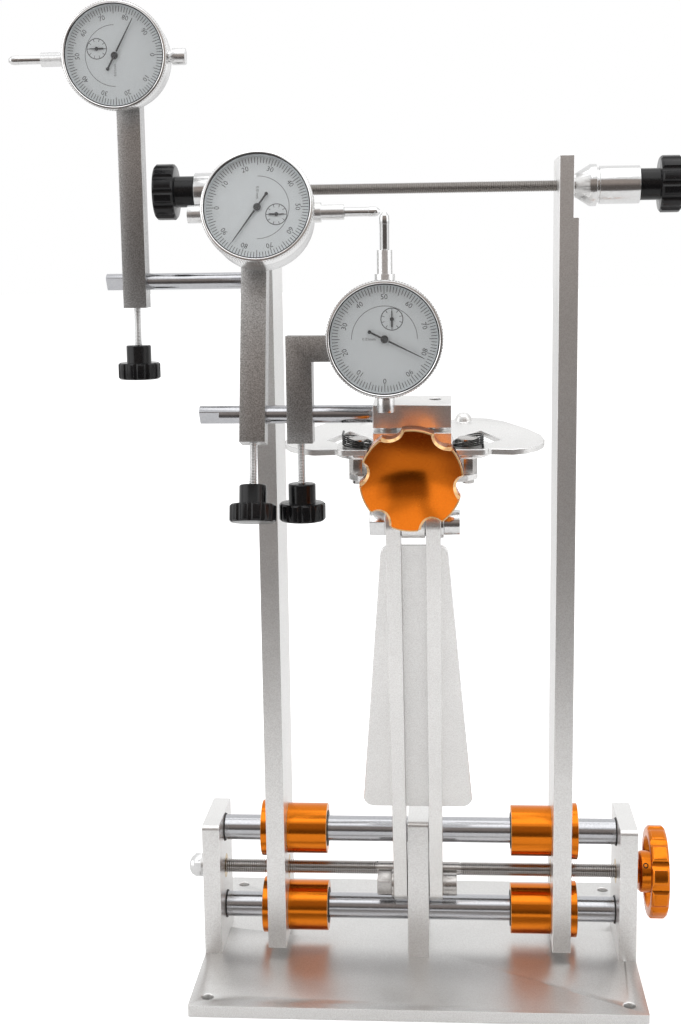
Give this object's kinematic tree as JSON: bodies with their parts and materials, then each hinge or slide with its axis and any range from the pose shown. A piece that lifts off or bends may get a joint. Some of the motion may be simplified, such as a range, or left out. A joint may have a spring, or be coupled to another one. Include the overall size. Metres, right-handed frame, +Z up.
{
  "type": "bicycle wheel truing stand",
  "caption": "Bench stand that holds a bicycle wheel between cranked uprights, with a swinging calliper and dial gauges that show how far the rim runs out of true.",
  "frame": {"origin": "centre of the base plate's underside, which is the centre of its four bench holes", "axes": "+X to the right along the guide rods, +Y to the back, +Z up; the user stands at -Y"},
  "size_m": [0.3641, 0.2145, 0.5452],
  "materials": {
    "silver_anodised": "satin anodised",
    "grey_anodised": "fine speckled satin",
    "polished_steel": "polished",
    "bright_steel": "bright",
    "zinc_steel": "zinc plated",
    "bronze": "plain",
    "orange_anodised": "orange anodised",
    "black_knob": "smooth moulded",
    "black_spring_steel": "black oxide",
    "dial_face": "matt enamel",
    "hand_black": "matt black",
    "gauge_case": "satin"
  },
  "bodies": {
    "frame": {"base_plate": "silver_anodised", "base_screws": "zinc_steel", "end_plates": "silver_anodised", "screw_bushes": "bronze", "centre_post": "silver_anodised", "guide_rods": "polished_steel", "arm_pivot_bolt": "zinc_steel"},
    "lead_screw": {"lead_screw": "zinc_steel", "handwheel": "orange_anodised", "end_nut": "bright_steel"},
    "left_upright": {"left_upright": "silver_anodised", "left_sliders": "orange_anodised", "left_screw_nut": "bronze", "left_axle_cone": "bright_steel", "axle_rod": "zinc_steel", "upper_gauge_rod": "polished_steel"},
    "right_upright": {"right_upright": "silver_anodised", "right_sliders": "orange_anodised", "right_screw_nut": "bronze", "right_axle_cone": "bright_steel"},
    "left_axle_knob": {"left_axle_knob": "black_knob"},
    "right_axle_knob": {"right_axle_knob": "black_knob"},
    "arm": {"arm_bars": "silver_anodised", "arm_panel": "silver_anodised", "head_pivot_bolt": "zinc_steel"},
    "head": {"head_tongue": "silver_anodised", "head_bar": "silver_anodised", "head_blocks": "silver_anodised", "head_yoke": "silver_anodised", "lower_gauge_rod": "polished_steel", "jaw_pivot_bolts": "zinc_steel", "jaw_springs": "black_spring_steel"},
    "left_jaw": {"left_jaw": "silver_anodised"},
    "right_jaw": {"right_jaw": "silver_anodised"},
    "calliper_knob": {"calliper_knob": "orange_anodised", "calliper_screw": "zinc_steel"},
    "gauge_1_bar": {"gauge_1_bar": "grey_anodised", "gauge_1_case": "gauge_case"},
    "gauge_1_clamp": {"gauge_1_clamp_knob": "black_knob"},
    "gauge_1_bezel": {"gauge_1_bezel": "bright_steel", "gauge_1_dial": "dial_face"},
    "gauge_1_hand": {"gauge_1_hand": "hand_black"},
    "gauge_1_small_hand": {"gauge_1_small_hand": "hand_black"},
    "gauge_1_plunger": {"gauge_1_plunger": "bright_steel"},
    "gauge_2_bar": {"gauge_2_bar": "grey_anodised", "gauge_2_case": "gauge_case"},
    "gauge_2_clamp": {"gauge_2_clamp_knob": "black_knob"},
    "gauge_2_bezel": {"gauge_2_bezel": "bright_steel", "gauge_2_dial": "dial_face"},
    "gauge_2_hand": {"gauge_2_hand": "hand_black"},
    "gauge_2_small_hand": {"gauge_2_small_hand": "hand_black"},
    "gauge_2_plunger": {"gauge_2_plunger": "bright_steel"},
    "gauge_3_bar": {"gauge_3_bar": "grey_anodised", "gauge_3_case": "gauge_case"},
    "gauge_3_clamp": {"gauge_3_clamp_knob": "black_knob"},
    "gauge_3_bezel": {"gauge_3_bezel": "bright_steel", "gauge_3_dial": "dial_face"},
    "gauge_3_hand": {"gauge_3_hand": "hand_black"},
    "gauge_3_small_hand": {"gauge_3_small_hand": "hand_black"},
    "gauge_3_plunger": {"gauge_3_plunger": "bright_steel"}
  },
  "joints": [
    {"name": "handwheel_turn", "type": "hinge", "parent": "frame", "child": "lead_screw", "pos_m": [0, 0, 0.0513], "axis": [1, 0, 0], "range_deg": [-3456, 3456]},
    {"name": "left_upright_slide", "type": "slide", "parent": "frame", "child": "left_upright", "axis": [1, 0, 0], "range_m": [-0.012, 0.012]},
    {"name": "right_upright_slide", "type": "slide", "parent": "frame", "child": "right_upright", "axis": [1, 0, 0], "range_m": [-0.012, 0.012]},
    {"name": "left_axle_knob_turn", "type": "hinge", "parent": "left_upright", "child": "left_axle_knob", "pos_m": [-0.13, 0, 0.4456], "axis": [1, 0, 0], "range_deg": [-720, 720]},
    {"name": "right_axle_knob_turn", "type": "hinge", "parent": "right_upright", "child": "right_axle_knob", "pos_m": [0.13, 0, 0.4456], "axis": [1, 0, 0], "range_deg": [-720, 720]},
    {"name": "arm_tilt", "type": "hinge", "parent": "frame", "child": "arm", "pos_m": [0, -0.013, 0.047], "axis": [1, 0, 0], "range_deg": [-2, 45]},
    {"name": "head_tilt", "type": "hinge", "parent": "arm", "child": "head", "pos_m": [0, -0.08686, 0.2743], "axis": [1, 0, 0], "range_deg": [-3, 15]},
    {"name": "calliper_turn", "type": "hinge", "parent": "head", "child": "calliper_knob", "pos_m": [0, -0.10939, 0.30245], "axis": [0, 0.9962, 0.0872], "range_deg": [-270, 1080]},
    {"name": "left_jaw_swing", "type": "hinge", "parent": "head", "child": "left_jaw", "pos_m": [-0.028, -0.08796, 0.30984], "axis": [0, -0.0872, 0.9962], "range_deg": [-12, 3]},
    {"name": "right_jaw_swing", "type": "hinge", "parent": "head", "child": "right_jaw", "pos_m": [0.028, -0.08796, 0.30984], "axis": [0, -0.0872, 0.9962], "range_deg": [-3, 12]},
    {"name": "gauge_1_slide", "type": "slide", "parent": "left_upright", "child": "gauge_1_bar", "axis": [1, 0, 0], "range_m": [-0.008, 0.004]},
    {"name": "gauge_1_clamp_turn", "type": "hinge", "parent": "gauge_1_bar", "child": "gauge_1_clamp", "pos_m": [-0.1581, 0.006, 0.3565], "axis": [0, 0, 1], "range_deg": [-360, 360]},
    {"name": "gauge_1_bezel_turn", "type": "hinge", "parent": "gauge_1_bar", "child": "gauge_1_bezel", "pos_m": [-0.1596, -0.0231, 0.5167], "axis": [0, 1, 0], "continuous": true},
    {"name": "gauge_1_plunger_slide", "type": "slide", "parent": "gauge_1_bar", "child": "gauge_1_plunger", "axis": [1, 0, 0], "range_m": [0, 0.008], "stiffness_N_per_m": 60, "springref_m": -0.012},
    {"name": "gauge_1_hand_turn", "type": "hinge", "parent": "gauge_1_bar", "child": "gauge_1_hand", "pos_m": [-0.1596, -0.0231, 0.5167], "axis": [0, 1, 0], "range_deg": [0, 2880]},
    {"name": "gauge_1_small_hand_turn", "type": "hinge", "parent": "gauge_1_bar", "child": "gauge_1_small_hand", "pos_m": [-0.1692, -0.0231, 0.5204], "axis": [0, 1, 0], "range_deg": [-288, 0]},
    {"name": "gauge_2_slide", "type": "slide", "parent": "head", "child": "gauge_2_bar", "axis": [1, 0, 0], "range_m": [-0.018, 0]},
    {"name": "gauge_2_clamp_turn", "type": "hinge", "parent": "gauge_2_bar", "child": "gauge_2_clamp", "pos_m": [-0.0809, -0.0981, 0.2918], "axis": [0, 0.2588, 0.9659], "range_deg": [-360, 360]},
    {"name": "gauge_2_bezel_turn", "type": "hinge", "parent": "gauge_2_bar", "child": "gauge_2_bezel", "pos_m": [-0.0765, -0.09013, 0.43398], "axis": [0, 0.9659, -0.2588], "continuous": true},
    {"name": "gauge_2_plunger_slide", "type": "slide", "parent": "gauge_2_bar", "child": "gauge_2_plunger", "axis": [-1, 0, 0], "range_m": [0, 0.008], "stiffness_N_per_m": 60, "springref_m": -0.012},
    {"name": "gauge_2_hand_turn", "type": "hinge", "parent": "gauge_2_bar", "child": "gauge_2_hand", "pos_m": [-0.0765, -0.09013, 0.43398], "axis": [0, 0.9659, -0.2588], "range_deg": [0, 2880]},
    {"name": "gauge_2_small_hand_turn", "type": "hinge", "parent": "gauge_2_bar", "child": "gauge_2_small_hand", "pos_m": [-0.0669, -0.09109, 0.43041], "axis": [0, 0.9659, -0.2588], "range_deg": [-288, 0]},
    {"name": "gauge_3_slide", "type": "slide", "parent": "head", "child": "gauge_3_bar", "axis": [1, 0, 0], "range_m": [-0.001, 0.008]},
    {"name": "gauge_3_clamp_turn", "type": "hinge", "parent": "gauge_3_bar", "child": "gauge_3_clamp", "pos_m": [-0.0569, -0.08775, 0.29044], "axis": [0, 0, 1], "range_deg": [-360, 360]},
    {"name": "gauge_3_bezel_turn", "type": "hinge", "parent": "gauge_3_bar", "child": "gauge_3_bezel", "pos_m": [-0.0127, -0.11685, 0.36964], "axis": [0, 1, 0], "continuous": true},
    {"name": "gauge_3_plunger_slide", "type": "slide", "parent": "gauge_3_bar", "child": "gauge_3_plunger", "axis": [0, 0, -1], "range_m": [0, 0.008], "stiffness_N_per_m": 60, "springref_m": -0.012},
    {"name": "gauge_3_hand_turn", "type": "hinge", "parent": "gauge_3_bar", "child": "gauge_3_hand", "pos_m": [-0.0127, -0.11685, 0.36964], "axis": [0, 1, 0], "range_deg": [0, 2880]},
    {"name": "gauge_3_small_hand_turn", "type": "hinge", "parent": "gauge_3_bar", "child": "gauge_3_small_hand", "pos_m": [-0.009, -0.11685, 0.37924], "axis": [0, 1, 0], "range_deg": [-288, 0]}
  ],
  "couplings": [
    {"joint": "handwheel_turn", "follows": "left_upright_slide", "rad_per_m": 5026.5},
    {"joint": "right_upright_slide", "follows": "left_upright_slide", "ratio": -1},
    {"joint": "left_jaw_swing", "follows": "calliper_turn", "ratio": -0.011111},
    {"joint": "right_jaw_swing", "follows": "calliper_turn", "ratio": 0.011111},
    {"joint": "gauge_1_hand_turn", "follows": "gauge_1_plunger_slide", "rad_per_m": 6283.2},
    {"joint": "gauge_1_small_hand_turn", "follows": "gauge_1_plunger_slide", "rad_per_m": -628.32},
    {"joint": "gauge_2_hand_turn", "follows": "gauge_2_plunger_slide", "rad_per_m": 6283.2},
    {"joint": "gauge_2_small_hand_turn", "follows": "gauge_2_plunger_slide", "rad_per_m": -628.32},
    {"joint": "gauge_3_hand_turn", "follows": "gauge_3_plunger_slide", "rad_per_m": 6283.2},
    {"joint": "gauge_3_small_hand_turn", "follows": "gauge_3_plunger_slide", "rad_per_m": -628.32}
  ]
}
